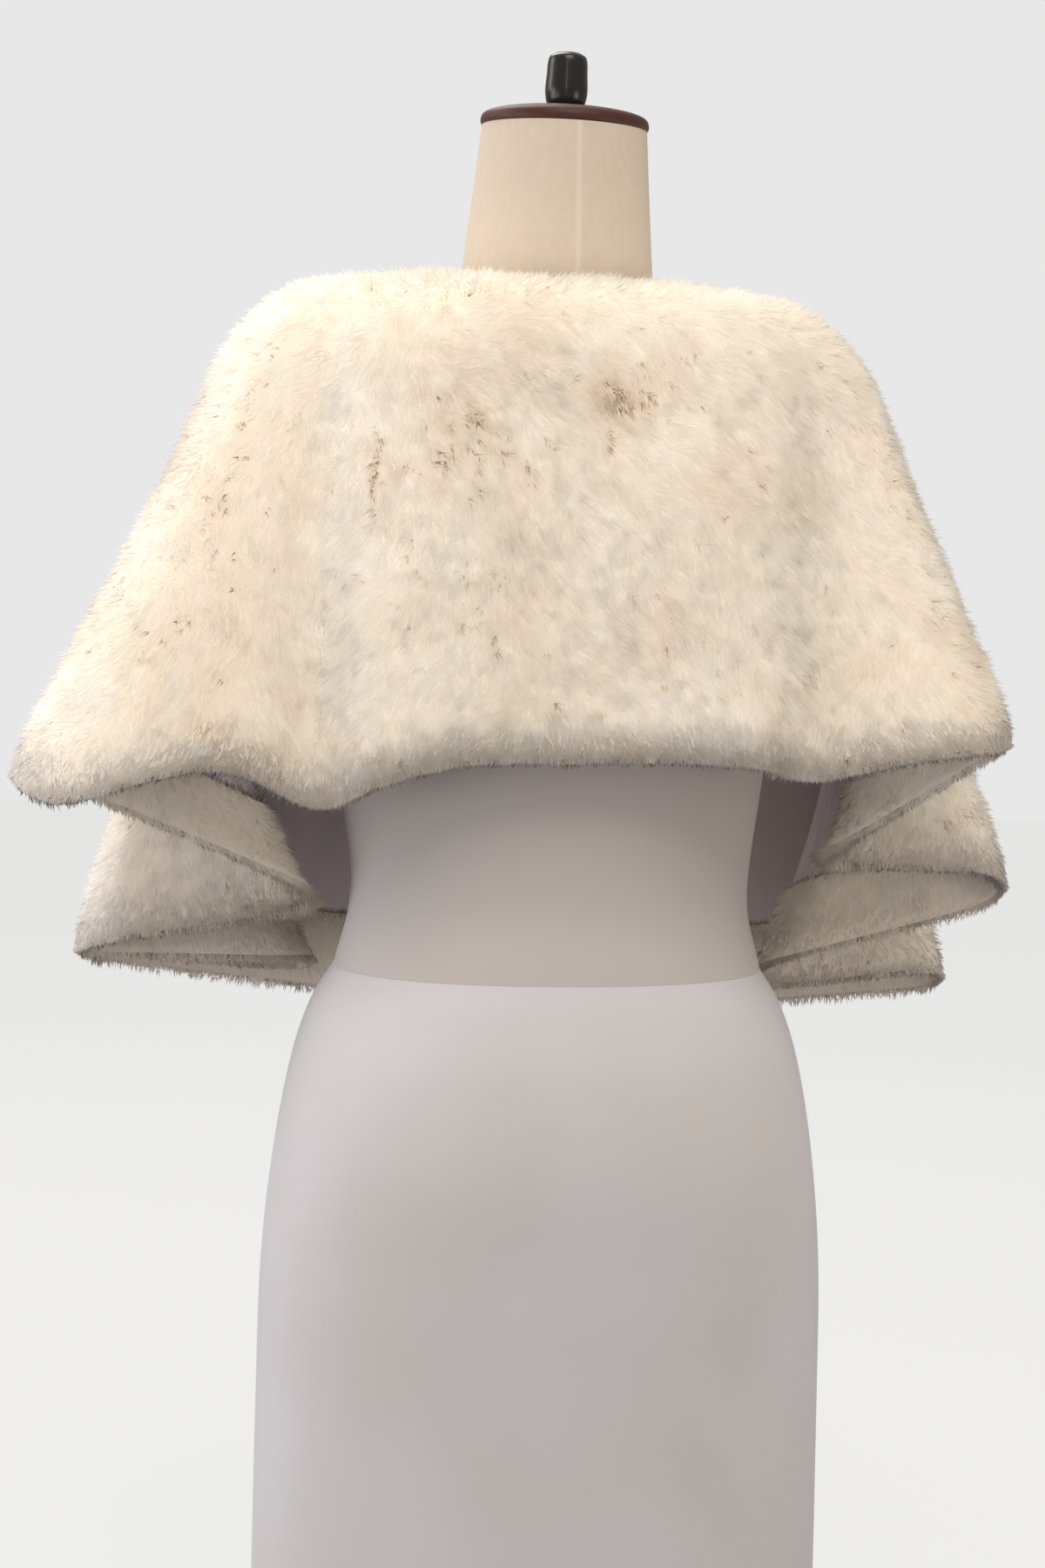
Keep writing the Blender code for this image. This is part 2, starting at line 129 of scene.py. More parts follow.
def new_finish(name, colour, roughness):
    finish = bpy.data.materials.new(name)
    finish.use_nodes = True
    shader = finish.node_tree.nodes["Principled BSDF"]
    shader.inputs["Base Color"].default_value = (*colour, 1)
    shader.inputs["Roughness"].default_value = roughness
    return finish, finish.node_tree.nodes, finish.node_tree.links, shader


def cloud_noise(nodes, scale, detail):
    noise = nodes.new("ShaderNodeTexNoise")
    noise.inputs["Scale"].default_value = scale
    noise.inputs["Detail"].default_value = detail
    return noise


def ranged(nodes, links, value, from_low, from_high, to_low=0, to_high=1):
    """The value, moved from one range to another and held inside it."""
    span = nodes.new("ShaderNodeMapRange")
    span.inputs["From Min"].default_value = from_low
    span.inputs["From Max"].default_value = from_high
    span.inputs["To Min"].default_value = to_low
    span.inputs["To Max"].default_value = to_high
    links.new(value, span.inputs["Value"])
    return span.outputs[0]


def thread_height(nodes, links, map_name, across, up):
    """The height of a soft weave, whose waves run so many radians to the metre each way."""
    woven = nodes.new("ShaderNodeUVMap")
    woven.uv_map = map_name
    heights = []
    for direction, count in (("X", across), ("Y", up)):
        thread = nodes.new("ShaderNodeTexWave")
        thread.bands_direction = direction
        thread.inputs["Scale"].default_value = count / RADIANS_AT_SCALE_ONE
        thread.inputs["Distortion"].default_value = 1.2
        thread.inputs["Detail"].default_value = 1.5
        thread.inputs["Detail Scale"].default_value = 0.35
        links.new(woven.outputs[0], thread.inputs["Vector"])
        heights.append(thread.outputs["Fac"])
    weave = nodes.new("ShaderNodeMath")
    weave.operation = "MAXIMUM"
    links.new(heights[0], weave.inputs[0])
    links.new(heights[1], weave.inputs[1])
    return weave.outputs[0]


def bumped(nodes, links, shader, heights):
    """Raises the surface by each height, given as an output, a strength and a distance."""
    last = None
    for height, strength, distance in heights:
        bump = nodes.new("ShaderNodeBump")
        bump.inputs["Strength"].default_value = strength
        bump.inputs["Distance"].default_value = distance
        links.new(height, bump.inputs["Height"])
        if last:
            links.new(last.outputs[0], bump.inputs["Normal"])
        last = bump
    links.new(last.outputs[0], shader.inputs["Normal"])


def blended(nodes, links, share, below, above):
    """A colour from below to above as the share runs from 0 to 1."""
    mix = nodes.new("ShaderNodeMix")
    mix.data_type = "RGBA"
    links.new(share, mix.inputs["Factor"])
    for socket, colour in ((mix.inputs["A"], below), (mix.inputs["B"], above)):
        if isinstance(colour, tuple):
            socket.default_value = (*colour, 1)
        else:
            links.new(colour, socket)
    return mix.outputs["Result"]


jersey, nodes, links, shader = new_finish("white_jersey_cover", JERSEY_WHITE, 0.82)
clouds = ranged(nodes, links, cloud_noise(nodes, 3.2, 1.5).outputs["Fac"], 0.34, 0.66)
knit = thread_height(nodes, links, "cover", 1100, 900)
links.new(blended(nodes, links, clouds, JERSEY_WARM, JERSEY_COOL), shader.inputs["Base Color"])
bumped(nodes, links, shader, [(knit, 0.10, 0.0004)])
shader.inputs["Sheen Weight"].default_value = 0.15
shader.inputs["Sheen Roughness"].default_value = 0.5

form_hips = form_cover("form_hips_cover", HIP_LEVELS, 0, 61, 112, jersey)
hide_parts("form_hips")

# The form's torso and neck: the same shell under a woven calico cover, closed down the centre
# back and sewn to the hips' cover at the waist. Its colour is painted creamier and lighter
# towards the neck: painted warm light from above.
TORSO_LEVELS = [
    Level("neck top",      0.0498, 0.0520, 0.0520, 0.9745, 0.9745, 0.9745),
    Level("neck",          0.0535, 0.0550, 0.0560, 0.9320, 0.9320, 0.9320),
    Level("neck base",     0.0580, 0.0590, 0.0640, 0.8840, 0.8930, 0.8660),
    Level("neck root",     0.0600, 0.0610, 0.0690, 0.8610, 0.8760, 0.8360),
    Level("shoulder 1",    0.0800, 0.0710, 0.0760, 0.8585, 0.8670, 0.8240),
    Level("shoulder 2",    0.1050, 0.0830, 0.0840, 0.8558, 0.8495, 0.8060),
    Level("shoulder 3",    0.1270, 0.0930, 0.0920, 0.8480, 0.8230, 0.7870),
    Level("shoulder tip",  0.1400, 0.1000, 0.1000, 0.8330, 0.7980, 0.7660),
    Level("armhole",       0.1440, 0.1030, 0.1060, 0.8000, 0.7730, 0.7450),
    Level("underarm",      0.1440, 0.1030, 0.1130, 0.7600, 0.7400, 0.7150),
    Level("bust",          0.1420, 0.1000, 0.1170, 0.7050, 0.6950, 0.6800),
    Level("under bust",    0.1360, 0.0940, 0.1060, 0.6350, 0.6350, 0.6300),
    Level("ribs",          0.1290, 0.0900, 0.0970, 0.5800, 0.5800, 0.5780),
    Level("waist",         0.1220, 0.0870, 0.0920, 0.5120, 0.5120, 0.5120),
    Level("seam",          0.1310, 0.0950, 0.0980, 0.4673, 0.4673, 0.4673),
]
CALICO_CREAM = (0.60, 0.51, 0.41)
CALICO_LOWER = (0.52, 0.475, 0.44)


def centre_back_seam(nodes, links, half_width):
    """1 on the centre back seam and 0 away from it, and the height on the piece."""
    place = nodes.new("ShaderNodeTexCoord")
    axes = nodes.new("ShaderNodeSeparateXYZ")
    links.new(place.outputs["Object"], axes.inputs[0])
    distance = nodes.new("ShaderNodeMath")
    distance.operation = "ABSOLUTE"
    links.new(axes.outputs["X"], distance.inputs[0])
    line = ranged(nodes, links, distance.outputs[0], half_width, 0.0002)
    behind = nodes.new("ShaderNodeMath")
    behind.operation = "GREATER_THAN"
    behind.inputs[1].default_value = 0
    links.new(axes.outputs["Y"], behind.inputs[0])
    seam = nodes.new("ShaderNodeMath")
    seam.operation = "MULTIPLY"
    links.new(line, seam.inputs[0])
    links.new(behind.outputs[0], seam.inputs[1])
    return seam.outputs[0], axes.outputs["Z"]


calico, nodes, links, shader = new_finish("calico_cover", CALICO_CREAM, 0.88)
seam, height = centre_back_seam(nodes, links, 0.0026)
# Painted warm light: the cover turns creamier and lighter from here up to the neck
neck_warm_light = ranged(nodes, links, height, 0.70, 0.86)
weave = thread_height(nodes, links, "cover", 1400, 1300)
slub = cloud_noise(nodes, 60, 4)
cream = blended(nodes, links, slub.outputs["Fac"], (0.54, 0.45, 0.35), (0.62, 0.53, 0.42))
threads = blended(nodes, links, neck_warm_light, CALICO_LOWER, cream)
faint_weave = ranged(nodes, links, weave, 0, 1, 0.92)
close_weave = blended(nodes, links, faint_weave, (0.52, 0.46, 0.38), threads)
seam_tint = blended(nodes, links, neck_warm_light, CALICO_LOWER, (0.64, 0.56, 0.46))
links.new(blended(nodes, links, seam, close_weave, seam_tint), shader.inputs["Base Color"])
bumped(nodes, links, shader, [(weave, 0.08, 0.0003), (slub.outputs["Fac"], 0.1, 0.001),
                              (seam, 0.12, 0.0004)])

form_torso = form_cover("form_torso_cover", TORSO_LEVELS, 4, 99, 112, calico)
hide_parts("form_torso")

# The cap on the form's neck: turned hardwood stained dark red-brown under a satin varnish,
# with a rounded rim. It is screwed down over the top of the calico.
Turn = namedtuple("Turn", "radius height")
CAP_BOTTOM = 0.9748
CAP_HEIGHT = 0.0130
CAP_DEPTH_RATIO = 1.04
CAP_PROFILE = [
    Turn(0.0500, 0.00), Turn(0.0507, 0.10), Turn(0.0507, 0.28), Turn(0.0496, 0.48),
    Turn(0.0466, 0.62), Turn(0.0400, 0.75), Turn(0.0280, 0.88), Turn(0.0145, 1.00),
]


def turned_piece(name, profile, bottom, height, depth_ratio, steps, sides, finish):
    """A piece turned to the smooth curve through its profile, upright on the leaning neck."""
    table = np.array(profile, float)
    turns = smooth_through(table, np.linspace(0, len(profile) - 1, (len(profile) - 1) * steps + 1))
    angle = np.linspace(0, 2 * math.pi, sides, endpoint=False)
    points = []
    for radius, share in turns:
        ring = [radius * np.cos(angle), radius * np.sin(angle) * depth_ratio,
                np.full(sides, bottom + height * min(max(share, 0), 1))]
        points.append(leaned(np.stack(ring, 1), 1))
    faces = []
    for j in range(len(turns) - 1):
        for k in range(sides):
            after = (k + 1) % sides
            faces.append((j * sides + k, j * sides + after, (j + 1) * sides + after,
                          (j + 1) * sides + k))
    faces.append(tuple(reversed(range(sides))))
    faces.append(tuple((len(turns) - 1) * sides + k for k in range(sides)))
    piece = mesh_piece(name, np.concatenate(points), faces, finish)
    piece.data.set_sharp_from_angle(angle=math.radians(60))
    return piece


stained_wood, nodes, links, shader = new_finish("dark_stained_wood", (0.07, 0.025, 0.014), 0.55)
place = nodes.new("ShaderNodeTexCoord")
along_grain = nodes.new("ShaderNodeMapping")
along_grain.inputs["Scale"].default_value = (6, 60, 60)
links.new(place.outputs["Object"], along_grain.inputs["Vector"])
grain = cloud_noise(nodes, 5, 6)
links.new(along_grain.outputs[0], grain.inputs["Vector"])
wood_brown = blended(nodes, links, grain.outputs["Fac"], (0.031, 0.0066, 0.0028),
                     (0.078, 0.019, 0.0068))
links.new(wood_brown, shader.inputs["Base Color"])
bumped(nodes, links, shader, [(grain.outputs["Fac"], 0.12, 0.0006)])
shader.inputs["Coat Weight"].default_value = 0.12
shader.inputs["Coat Roughness"].default_value = 0.45
shader.inputs["Specular IOR Level"].default_value = 0.3

neck_cap = turned_piece("neck_cap_turned", CAP_PROFILE, CAP_BOTTOM, CAP_HEIGHT, CAP_DEPTH_RATIO,
                        5, 128, stained_wood)
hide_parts("neck_cap")

# The knob that the form is lifted by: moulded black plastic with a polished side and a slightly
# domed top, screwed through the cap.
KNOB_HEIGHT = 0.0316
KNOB_GAP = 0.0003
KNOB_PROFILE = [
    Turn(0.0107, 0.00), Turn(0.0119, 0.08), Turn(0.0127, 0.22), Turn(0.0128, 0.36),
    Turn(0.0123, 0.60), Turn(0.0120, 0.80), Turn(0.0108, 0.93), Turn(0.0070, 1.00),
]
KNOB_BLACK = (0.012, 0.011, 0.011)
polished_black, nodes, links, shader = new_finish("polished_black_plastic", KNOB_BLACK, 0.2)
scuffs = cloud_noise(nodes, 130, 5)
scuffed_black = blended(nodes, links, scuffs.outputs["Fac"], (0.010, 0.008, 0.006),
                        (0.024, 0.019, 0.015))
links.new(scuffed_black, shader.inputs["Base Color"])
links.new(ranged(nodes, links, scuffs.outputs["Fac"], 0, 1, 0.14, 0.32),
          shader.inputs["Roughness"])
shader.inputs["Specular IOR Level"].default_value = 0.35
bumped(nodes, links, shader, [(scuffs.outputs["Fac"], 0.05, 0.0003)])

cap_knob = turned_piece("cap_knob_moulded", KNOB_PROFILE, CAP_BOTTOM + CAP_HEIGHT + KNOB_GAP,
                        KNOB_HEIGHT, 1.0, 5, 64, polished_black)
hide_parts("cap_knob")

# The cape's cloth: the knitted backing of ivory faux fur, cut as one back, a full side over
# each shoulder and two fronts, sewn together and hung from a plain oval neckline.
Rib = namedtuple("Rib", "name neck corner_x corner_y corner_z hem_x hem_y hem_z outline")
LEFT_RIBS = [
    Rib("centre back",      0, 0.000, 0.124, 0.870, 0.000, 0.126, 0.596, 1),
    Rib("back",            16, 0.062, 0.126, 0.872, 0.070, 0.129, 0.594, 1),
    Rib("back edge",       28, 0.112, 0.116, 0.875, 0.122, 0.127, 0.580, 1),
    Rib("crease",          38, 0.142, 0.094, 0.877, 0.153, 0.106, 0.566, 1),
    Rib("arch",            47, 0.163, 0.078, 0.878, 0.212, 0.127, 0.590, 1),
    Rib("lobe 1 near",     57, 0.176, 0.060, 0.879, 0.303, 0.122, 0.570, 1),
    Rib("lobe 1 far",      66, 0.184, 0.040, 0.879, 0.322, 0.074, 0.582, 1),
    Rib("valley 1 near",   76, 0.184, 0.022, 0.876, 0.161, 0.018, 0.510, 0),
    Rib("valley 1 far",    84, 0.183, 0.005, 0.874, 0.159, -0.018, 0.484, 0),
    Rib("lobe 2 near",     93, 0.180, -0.013, 0.870, 0.277, -0.037, 0.464, 1),
    Rib("lobe 2 far",     102, 0.175, -0.031, 0.865, 0.279, -0.087, 0.452, 1),
    Rib("valley 2 near",  110, 0.169, -0.048, 0.860, 0.150, -0.100, 0.446, 0),
    Rib("valley 2 far",   118, 0.159, -0.064, 0.854, 0.150, -0.132, 0.434, 0),
    Rib("lobe 3 near",    126, 0.147, -0.079, 0.848, 0.272, -0.148, 0.442, 1),
    Rib("lobe 3 far",     136, 0.128, -0.095, 0.841, 0.270, -0.196, 0.434, 1),
    Rib("front",          148, 0.094, -0.112, 0.830, 0.140, -0.210, 0.414, 1),
    Rib("front edge",     162, 0.046, -0.122, 0.818, 0.064, -0.202, 0.408, 1),
]
RIGHT_RIBS = [
    Rib("centre back",      0, 0.000, 0.124, 0.870, 0.000, 0.126, 0.596, 1),
    Rib("back",            16, 0.062, 0.126, 0.871, 0.066, 0.129, 0.597, 1),
    Rib("back edge",       28, 0.106, 0.118, 0.869, 0.108, 0.128, 0.594, 1),
    Rib("crease",          38, 0.133, 0.099, 0.868, 0.140, 0.110, 0.586, 1),
    Rib("lobe 1 start",    47, 0.148, 0.082, 0.867, 0.192, 0.127, 0.599, 1),
    Rib("lobe 1 near",     57, 0.156, 0.064, 0.866, 0.248, 0.118, 0.606, 1),
    Rib("lobe 1 far",      66, 0.163, 0.044, 0.865, 0.265, 0.075, 0.602, 1),
    Rib("valley 1 near",   76, 0.165, 0.026, 0.864, 0.184, 0.030, 0.540, 0),
    Rib("valley 1 far",    84, 0.164, 0.008, 0.862, 0.182, 0.000, 0.521, 0),
    Rib("lobe 2 near",     93, 0.162, -0.010, 0.860, 0.290, -0.018, 0.515, 1),
    Rib("lobe 2 far",     102, 0.158, -0.029, 0.857, 0.296, -0.064, 0.489, 1),
    Rib("valley 2 near",  110, 0.152, -0.047, 0.853, 0.166, -0.084, 0.448, 0),
    Rib("valley 2 far",   118, 0.148, -0.063, 0.849, 0.164, -0.116, 0.424, 0),
    Rib("lobe 3 near",    126, 0.138, -0.079, 0.844, 0.285, -0.130, 0.434, 1),
    Rib("lobe 3 far",     136, 0.121, -0.095, 0.838, 0.282, -0.178, 0.418, 1),
    Rib("front",          148, 0.090, -0.112, 0.828, 0.140, -0.198, 0.402, 1),
    Rib("front edge",     162, 0.046, -0.122, 0.816, 0.064, -0.196, 0.400, 1),
]
FRONT_EDGE = 16
SIDE_SEAM = 3
FRONT_SEAM = 12
HEM_SHARE = 0.978
HEM_ROLL = 0.0028
NECK_SHARE = 0.020
BACKING_OUTSIDE = -0.0006
BACKING_INSIDE = -0.0026
NECK_HALF_WIDTH = 0.0630
NECK_REACH_BACK = 0.0645
NECK_REACH_FRONT = 0.0760
NECK_HEIGHT = 0.8800
NECK_DROP = 0.030
YOKE_END = 0.13      # share of a rib where it starts to turn over the shoulder
DROP_START = 0.38    # share of a rib from which it hangs
TURN_BEFORE = 0.42   # share of the yoke that the turn takes up
TURN_AFTER = 0.20    # share of the drop that the turn takes up
RIB_SPACING = 0.055  # metres from rib to rib in the cloth's map
RIB_LENGTH = 0.40    # metres down a rib in the cloth's map
RIBS_PER_LENGTH = 6  # ribs that a crease counts as one rib's length


def ribs_in_a_row():
    """Both sides' ribs from the right front edge over the back to the left, and the hem's
    points with every fold pulled straight."""
    left = np.array([rib[1:] for rib in LEFT_RIBS], float)
    right = np.array([rib[1:] for rib in RIGHT_RIBS], float)
    right[:, [0, 1, 4]] *= -1
    ribs = np.vstack([right[:0:-1], left])
    count = np.arange(len(ribs))
    kept = ribs[:, 7] > 0.5
    straight = [np.interp(count, count[kept], ribs[kept, axis]) for axis in (4, 5, 6)]
    return ribs, np.stack(straight, 1)


RIBS, STRAIGHT_HEM = ribs_in_a_row()


def hung_cloth(place, share):
    """The middle of the cape at a rib's place and a share of its length, as it hangs."""
    rib = smooth_through(RIBS, place + FRONT_EDGE)
    angle = np.radians(rib[..., 0])
    reach = np.where(np.cos(angle) > 0, NECK_REACH_BACK, NECK_REACH_FRONT)
    height = NECK_HEIGHT - NECK_DROP * 0.5 * (1 - np.cos(angle))
    neck = np.stack([NECK_HALF_WIDTH * np.sin(angle) + NECK_OFFSET, reach * np.cos(angle),
                     height], -1)
    corner = rib[..., 1:4]
    hem = smooth_through(STRAIGHT_HEM, place + FRONT_EDGE)
    fold = rib[..., 4:7] - hem
    bend_from = neck + (corner - neck) * (1 - TURN_BEFORE)
    bend_to = corner + (hem - corner) * TURN_AFTER
    share = share[..., None]
    on_yoke = np.clip(share / YOKE_END, 0, 1)
    on_bend = np.clip((share - YOKE_END) / (DROP_START - YOKE_END), 0, 1)
    on_drop = np.clip((share - DROP_START) / (1 - DROP_START), 0, 1)
    yoke = neck + (bend_from - neck) * on_yoke
    bend = (bend_from * (1 - on_bend) ** 2 + corner * 2 * on_bend * (1 - on_bend)
            + bend_to * on_bend ** 2)
    drop = bend_to + (hem - bend_to) * on_drop + fold * on_drop ** 2
    return np.where(share < YOKE_END, yoke, np.where(share < DROP_START, bend, drop))


def directions(cloth, place, share):
    """Unit vectors at a point of the cloth: along the hem, down the rib, and out of it."""
    step = 0.03
    along = (cloth(np.minimum(place + step, FRONT_EDGE), share)
             - cloth(np.maximum(place - step, -FRONT_EDGE), share))
    down = cloth(place, np.minimum(share + step, 1)) - cloth(place, np.maximum(share - step, 0))
    out = np.cross(along, down)
    return [v / np.linalg.norm(v, axis=-1, keepdims=True) for v in (along, down, out)]


Crease = namedtuple("Crease", "name top_place top_share foot_place foot_share width depth")
CREASES = [
    Crease("left shoulder hollow",    3.9, 0.30,   4.1, 0.98, 0.60,  0.0030),
    Crease("beside left hollow",      2.6, 0.34,   3.0, 0.95, 0.55, -0.0020),
    Crease("left back parting",       2.0, 0.32,   1.9, 0.60, 0.35,  0.0026),
    Crease("drag under the nape",    -1.6, 0.36,   1.0, 0.47, 0.70,  0.0022),
    Crease("drag on the right",      -2.6, 0.30,  -0.2, 0.36, 0.60,  0.0018),
    Crease("low drag on the right",  -1.8, 0.80,   0.4, 0.90, 0.60,  0.0018),
    Crease("low drag on the left",    0.4, 0.70,   1.8, 0.78, 0.60,  0.0016),
    Crease("right hollow",           -4.0, 0.45,  -4.1, 0.98, 0.50,  0.0026),
    Crease("beside right hollow",    -3.0, 0.50,  -3.1, 0.96, 0.50, -0.0018),
    Crease("left shoulder parting",   5.0, 0.30,   6.2, 0.62, 0.45,  0.0020),
    Crease("right front hollow",    -13.6, 0.40, -13.9, 0.95, 0.60,  0.0026),
    Crease("left front hollow",      13.7, 0.40,  14.1, 0.95, 0.55,  0.0024),
    Crease("right front ridge",     -14.8, 0.45, -15.0, 0.93, 0.50, -0.0018),
    Crease("left front ridge",       14.9, 0.42,  15.1, 0.96, 0.55, -0.0016),
]


def creased_cloth(place, share):
    """The hung cloth with its soft creases pressed in and its hem rolled a little inward."""
    place, share = np.broadcast_arrays(np.asarray(place, float), np.asarray(share, float))
    depth = HEM_ROLL * np.clip((share - 0.93) / 0.05, 0, 1.4) ** 2
    for crease in CREASES:
        run = np.array([crease.foot_place - crease.top_place,
                        (crease.foot_share - crease.top_share) * RIBS_PER_LENGTH])
        offset = np.stack([place - crease.top_place,
                           (share - crease.top_share) * RIBS_PER_LENGTH], -1)
        on_run = np.clip(offset @ run / (run @ run), 0, 1)
        away = np.linalg.norm(offset - on_run[..., None] * run, axis=-1)
        depth += crease.depth * np.exp(-(away / crease.width) ** 2)
    out = directions(hung_cloth, place, share)[2]
    return hung_cloth(place, share) - out * depth[..., None]


def cell_areas(grid):
    """The area of every cell of a grid of points."""
    across = grid[1:, :-1] - grid[:-1, :-1]
    down = grid[:-1, 1:] - grid[:-1, :-1]
    return np.linalg.norm(np.cross(across, down), axis=-1)


def laid_cloth(name, first, last, from_share, to_share, outside, inside, columns, rows, finish):
    """A thin closed sheet on the cape's own form, mapped about in metres along and down it."""
    place = np.linspace(first, last, columns)[:, None] + np.zeros((1, rows))
    share = np.linspace(from_share, to_share, rows)[None, :] + np.zeros((columns, 1))
    point = creased_cloth(place, share)
    out = directions(creased_cloth, place, share)[2]
    points = np.stack([point + out * outside, point + out * inside])
    index = np.arange(2 * columns * rows).reshape(2, columns, rows)
    faces = []
    for i in range(columns - 1):
        for j in range(rows - 1):
            for side in (0, 1):
                ring = (index[side, i, j], index[side, i, j + 1], index[side, i + 1, j + 1],
                        index[side, i + 1, j])
                faces.append(ring if side == 0 else ring[::-1])
    edge = ([(i, 0) for i in range(columns)] + [(columns - 1, j) for j in range(1, rows)]
            + [(i, rows - 1) for i in range(columns - 2, -1, -1)]
            + [(0, j) for j in range(rows - 2, 0, -1)])
    for here, after in zip(edge, edge[1:] + edge[:1]):
        faces.append((index[0][here], index[0][after], index[1][after], index[1][here]))
    faces = [tuple(int(k) for k in face) for face in faces]
    piece = mesh_piece(name, points, faces, finish)
    laid_map = piece.data.uv_layers.new(name="laid")
    flat_place = np.stack([np.repeat(place.ravel()[None], 2, 0).ravel() * RIB_SPACING,
                           -np.repeat(share.ravel()[None], 2, 0).ravel() * RIB_LENGTH], 1)
    corner = np.empty(len(piece.data.loops), int)
    piece.data.loops.foreach_get("vertex_index", corner)
    laid_map.data.foreach_set("uv", flat_place[corner].ravel())
    piece["cut_area"] = float(cell_areas(points[0]).sum())
    return piece


fur_backing, nodes, links, shader = new_finish("fur_backing", (0.86, 0.78, 0.66), 0.95)
underfur = cloud_noise(nodes, 420, 4)
links.new(blended(nodes, links, underfur.outputs["Fac"], (0.80, 0.69, 0.55), (0.93, 0.86, 0.75)),
          shader.inputs["Base Color"])
shader.inputs["Specular IOR Level"].default_value = 0.0

Panel = namedtuple("Panel", "node first last columns cut_width cut_length seed")
PANELS = [
    Panel("back_panel",        -SIDE_SEAM,  SIDE_SEAM,   37, 0.32, 0.39, 11),
    Panel("side_panel_left",    SIDE_SEAM,  FRONT_SEAM,  82, 0.80, 0.51, 12),
    Panel("side_panel_right", -FRONT_SEAM, -SIDE_SEAM,   82, 0.66, 0.51, 13),
    Panel("front_panel_left",   FRONT_SEAM, FRONT_EDGE,  37, 0.38, 0.51, 14),
    Panel("front_panel_right", -FRONT_EDGE, -FRONT_SEAM, 37, 0.40, 0.53, 15),
]
PANEL_ROWS = 44
panel_cloths = {}
for panel in PANELS:
    cloth = laid_cloth(panel.node + "_cloth", panel.first, panel.last, NECK_SHARE, HEM_SHARE,
                       BACKING_OUTSIDE, BACKING_INSIDE, panel.columns, PANEL_ROWS, fur_backing)
    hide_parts(panel.node)
    panel_cloths[panel.node] = cloth

# The pile of the fur: soft fibres in small tufts, about 8 mm long, that hide the cloth.
# It is brushed across the upper back and down the sides, and parts in small clefts, painted
# darker: partly the darker roots showing, partly painted shade in the partings.
PILE_LENGTH = 0.0084
ROOT_LIFT = 0.0003  # how far above the cloth's face the tufts start
TUFT_RADIUS = 0.00052
HEM_ROUND = 0.88    # share of a rib from which the hem's fur turns under
HEM_TURN = 1.25     # how far it turns under at the hem
HEM_TRIM = 0.42     # share of its length that is cut off there
BACK_NAP_RIBS = 3.2
BACK_NAP_TURN = -1.15
NAP_WANDER = 0.75
NAP_RIPPLE = 0.55
TUFT_TILT = 0.86
ROOT_RATIO = 1.3    # of a tuft's depth to half its width at the root
SOFT_SPREAD = 0.28  # how far the shading of a tuft turns from side to side
LATTICE = 32


def patches(points, size, seed):
    """Smooth chance from -1 to 1 over points, in patches about size metres across."""
    lattice = np.random.default_rng(seed).uniform(-1, 1, (LATTICE, LATTICE, LATTICE))
    cell = points / size + 16 * LATTICE
    low = np.floor(cell).astype(int)
    s = cell - low
    s = s * s * (3 - 2 * s)
    total = np.zeros(points.shape[:-1])
    for corner in np.ndindex(2, 2, 2):
        weight = np.prod(np.where(np.array(corner) == 1, s, 1 - s), axis=-1)
        x, y, z = np.moveaxis((low + np.array(corner)) % LATTICE, -1, 0)
        total += weight * lattice[x, y, z]
    return total


def unit(vectors):
    return vectors / np.maximum(np.linalg.norm(vectors, axis=-1, keepdims=True), 1e-9)


def scattered(first, last, from_share, to_share, count, chance):
    """Places and shares of so many tufts, spread evenly over the cloth's own area."""
    columns = int((last - first) * 10) + 1
    rows = 61
    place = np.linspace(first, last, columns)
    share = np.linspace(from_share, to_share, rows)
    area = cell_areas(creased_cloth(place[:, None], share[None, :])).ravel()
    cell = chance.choice(len(area), count, p=area / area.sum())
    i, j = np.divmod(cell, rows - 1)
    return (place[i] + chance.random(count) * (place[1] - place[0]),
            share[j] + chance.random(count) * (share[1] - share[0]))


Cleft = namedtuple("Cleft", "name place share place_spread share_spread slant count")
CLEFT_REACH = 0.0013
CLEFTS = [
    Cleft("left shoulder chain",    4.45, 0.42, 0.16, 0.050,  0.5, 14),
    Cleft("left sleeve chain",      4.50, 0.60, 0.14, 0.090,  0.2, 18),
    Cleft("shaded hollow",          -0.35, 0.38, 0.40, 0.026, -1.1, 26),
    Cleft("left back parting",      2.20, 0.49, 0.05, 0.045,  0.1, 28),
    Cleft("middle left",            1.00, 0.46, 0.45, 0.040, -0.9, 20),
    Cleft("lower left",             1.10, 0.58, 0.50, 0.070, -0.5, 16),
    Cleft("whole back",             0.00, 0.60, 1.90, 0.180, -0.6, 44),
    Cleft("left fold's end",        7.40, 0.945, 0.5, 0.020,  0.0, 30),
    Cleft("right fold's end",      -7.40, 0.945, 0.5, 0.020,  0.0, 30),
    Cleft("left turned-up fur",     6.40, 0.908, 0.5, 0.012,  0.2, 44),
    Cleft("right turned-up fur",   -9.60, 0.908, 0.6, 0.012, -0.2, 44),
    Cleft("left of the crease",     5.20, 0.70, 1.20, 0.150, -0.4, 30),
    Cleft("right of the crease",   -5.20, 0.70, 1.20, 0.150,  0.4, 30),
    Cleft("lower middle",           0.50, 0.76, 0.60, 0.040,  0.8, 12),
    Cleft("low right",             -0.80, 0.86, 0.70, 0.045,  0.9, 12),
    Cleft("right back",            -1.40, 0.55, 0.80, 0.150, -0.7, 10),
    Cleft("right sleeve",          -4.60, 0.62, 0.60, 0.180,  0.4, 12),
    Cleft("left lobe",              5.60, 0.78, 0.80, 0.090, -0.4, 12),
    Cleft("left under sleeve",      9.50, 0.75, 0.80, 0.120,  0.3, 10),
    Cleft("right under sleeve",    -9.50, 0.80, 0.70, 0.100, -0.3, 14),
    Cleft("left front",            13.80, 0.60, 1.20, 0.200,  0.4, 14),
    Cleft("right front",          -13.80, 0.60, 1.20, 0.200, -0.4, 14),
]
# Patches where the pile's tone is painted darker. In the shaded hollow under the nape, at its end,
# along the left crease and in the left parting this is painted shade.
Tint = namedtuple("Tint", "name place share radius depth")
